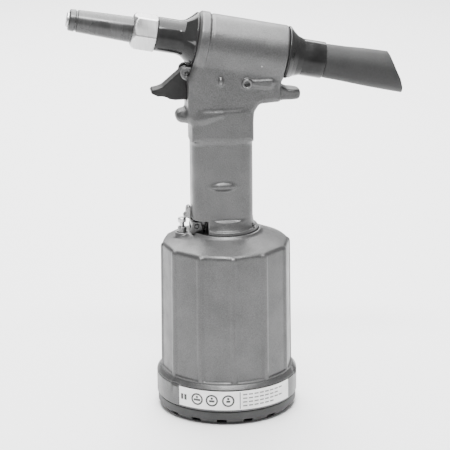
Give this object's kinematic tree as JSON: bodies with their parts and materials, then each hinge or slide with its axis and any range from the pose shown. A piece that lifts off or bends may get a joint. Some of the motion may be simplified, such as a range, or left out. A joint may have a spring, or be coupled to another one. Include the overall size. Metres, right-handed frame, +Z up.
{
  "type": "pneumatic rivet gun",
  "caption": "Air over oil rivet gun: ribbed air cylinder as its foot, upright grip, canted head with hex-nut nose, trigger and rubber pintail deflector.",
  "frame": {"origin": "centre of the flat rest face under the base cover, on the air cylinder's axis", "axes": "+Z up along the air cylinder and grip; the nose points to -X, canted 11 degrees up; the pintail deflector points to +X; -Y is the tool's left side"},
  "size_m": [0.2807, 0.1361, 0.3485],
  "materials": {
    "cast_aluminium": "satin, bead blasted casting",
    "steel": "machined",
    "black_steel": "glossy black oxide",
    "dark_steel": "dark, oiled",
    "trigger_black": "satin black",
    "rubber": "matt moulded rubber",
    "seal_rubber": "moulded seal",
    "base_black": "moulded, matt",
    "label_white": "blank printed film",
    "felt": "felt",
    "brass": "machined"
  },
  "bodies": {
    "tool": {"head_and_grip_casting": "cast_aluminium", "bleed_screw": "steel", "lock_screw": "steel", "oil_tube": "steel", "front_gland": "black_steel", "front_rod_seal": "seal_rubber", "rear_gland": "black_steel", "rear_rod_seal": "seal_rubber", "hex_nut": "steel", "nose_sleeve": "dark_steel", "nose_tip": "steel", "air_cylinder": "cast_aluminium", "air_inlet_nipple": "brass", "rod_gland": "steel", "rod_seal": "seal_rubber", "end_plate": "steel", "end_plate_seal": "seal_rubber", "base_ring": "cast_aluminium", "label_band": "label_white", "base_cover": "base_black", "silencer_pad": "felt", "base_screw_1": "steel", "base_screw_2": "steel", "base_screw_3": "steel", "trigger_pin": "steel", "arm_bracket": "dark_steel", "throttle_arm_pin": "steel", "valve_body": "steel", "valve_stem_seal": "seal_rubber", "valve_spring": "steel", "return_spring": "steel"},
    "air_piston_unit": {"air_piston": "cast_aluminium", "piston_ring": "seal_rubber", "piston_rod": "steel", "rod_nut": "steel"},
    "pull_piston_unit": {"pull_piston": "steel", "pull_piston_seal": "seal_rubber", "collet": "steel", "pusher_spring": "steel"},
    "jaw_pusher_body": {"jaw_pusher": "steel"},
    "jaw_1_body": {"jaw_1": "steel"},
    "jaw_2_body": {"jaw_2": "steel"},
    "jaw_3_body": {"jaw_3": "steel"},
    "deflector_body": {"deflector": "rubber"},
    "trigger_body": {"trigger": "trigger_black"},
    "trigger_link_body": {"trigger_link": "steel"},
    "throttle_arm_body": {"throttle_arm": "steel"},
    "valve_stem_body": {"valve_stem": "steel"}
  },
  "joints": [
    {"name": "trigger_pull", "type": "hinge", "parent": "tool", "child": "trigger_body", "pos_m": [-0.0318, 0, 0.2938], "axis": [0, -1, 0], "range_deg": [0, 10], "stiffness_Nm_per_rad": 1},
    {"name": "trigger_link_lift", "type": "slide", "parent": "tool", "child": "trigger_link_body", "axis": [0, 0, 1], "range_m": [0, 0.00223]},
    {"name": "throttle_arm_swing", "type": "hinge", "parent": "tool", "child": "throttle_arm_body", "pos_m": [-0.0255, 0, 0.1625], "axis": [0, -1, 0], "range_deg": [0, 20]},
    {"name": "valve_stem_press", "type": "slide", "parent": "tool", "child": "valve_stem_body", "axis": [0, 0, -1], "range_m": [0, 0.0036], "deforming": ["valve_spring"]},
    {"name": "air_piston_lift", "type": "slide", "parent": "tool", "child": "air_piston_unit", "axis": [0, 0, 1], "range_m": [0, 0.075], "stiffness_N_per_m": 200},
    {"name": "pull_piston_draw", "type": "slide", "parent": "tool", "child": "pull_piston_unit", "axis": [0.9816, 0, -0.1908], "range_m": [0, 0.0133], "deforming": ["return_spring"]},
    {"name": "jaw_pusher_follow", "type": "slide", "parent": "pull_piston_unit", "child": "jaw_pusher_body", "axis": [-0.9816, 0, 0.1908], "range_m": [0, 0.0028], "deforming": ["pusher_spring"]},
    {"name": "jaw_1_close", "type": "slide", "parent": "pull_piston_unit", "child": "jaw_1_body", "axis": [-0.9999, 0, 0.0146], "range_m": [0, 0.0028]},
    {"name": "jaw_2_close", "type": "slide", "parent": "pull_piston_unit", "child": "jaw_2_body", "axis": [-0.9494, 0.1528, 0.2744], "range_m": [0, 0.0028]},
    {"name": "jaw_3_close", "type": "slide", "parent": "pull_piston_unit", "child": "jaw_3_body", "axis": [-0.9494, -0.1528, 0.2744], "range_m": [0, 0.0028]},
    {"name": "deflector_turn", "type": "hinge", "parent": "tool", "child": "deflector_body", "pos_m": [0, 0, 0.3151], "axis": [0.9816, 0, -0.1908], "continuous": true}
  ],
  "couplings": [
    {"joint": "trigger_pull", "follows": "trigger_link_lift", "rad_per_m": 78.125},
    {"joint": "throttle_arm_swing", "follows": "trigger_link_lift", "rad_per_m": 153.83},
    {"joint": "valve_stem_press", "follows": "trigger_link_lift", "ratio": 1.5625},
    {"joint": "pull_piston_draw", "follows": "air_piston_lift", "ratio": 0.17633},
    {"joint": "jaw_pusher_follow", "follows": "air_piston_lift", "ratio": 0.0354},
    {"joint": "jaw_1_close", "follows": "air_piston_lift", "ratio": 0.036},
    {"joint": "jaw_2_close", "follows": "air_piston_lift", "ratio": 0.036},
    {"joint": "jaw_3_close", "follows": "air_piston_lift", "ratio": 0.036}
  ]
}
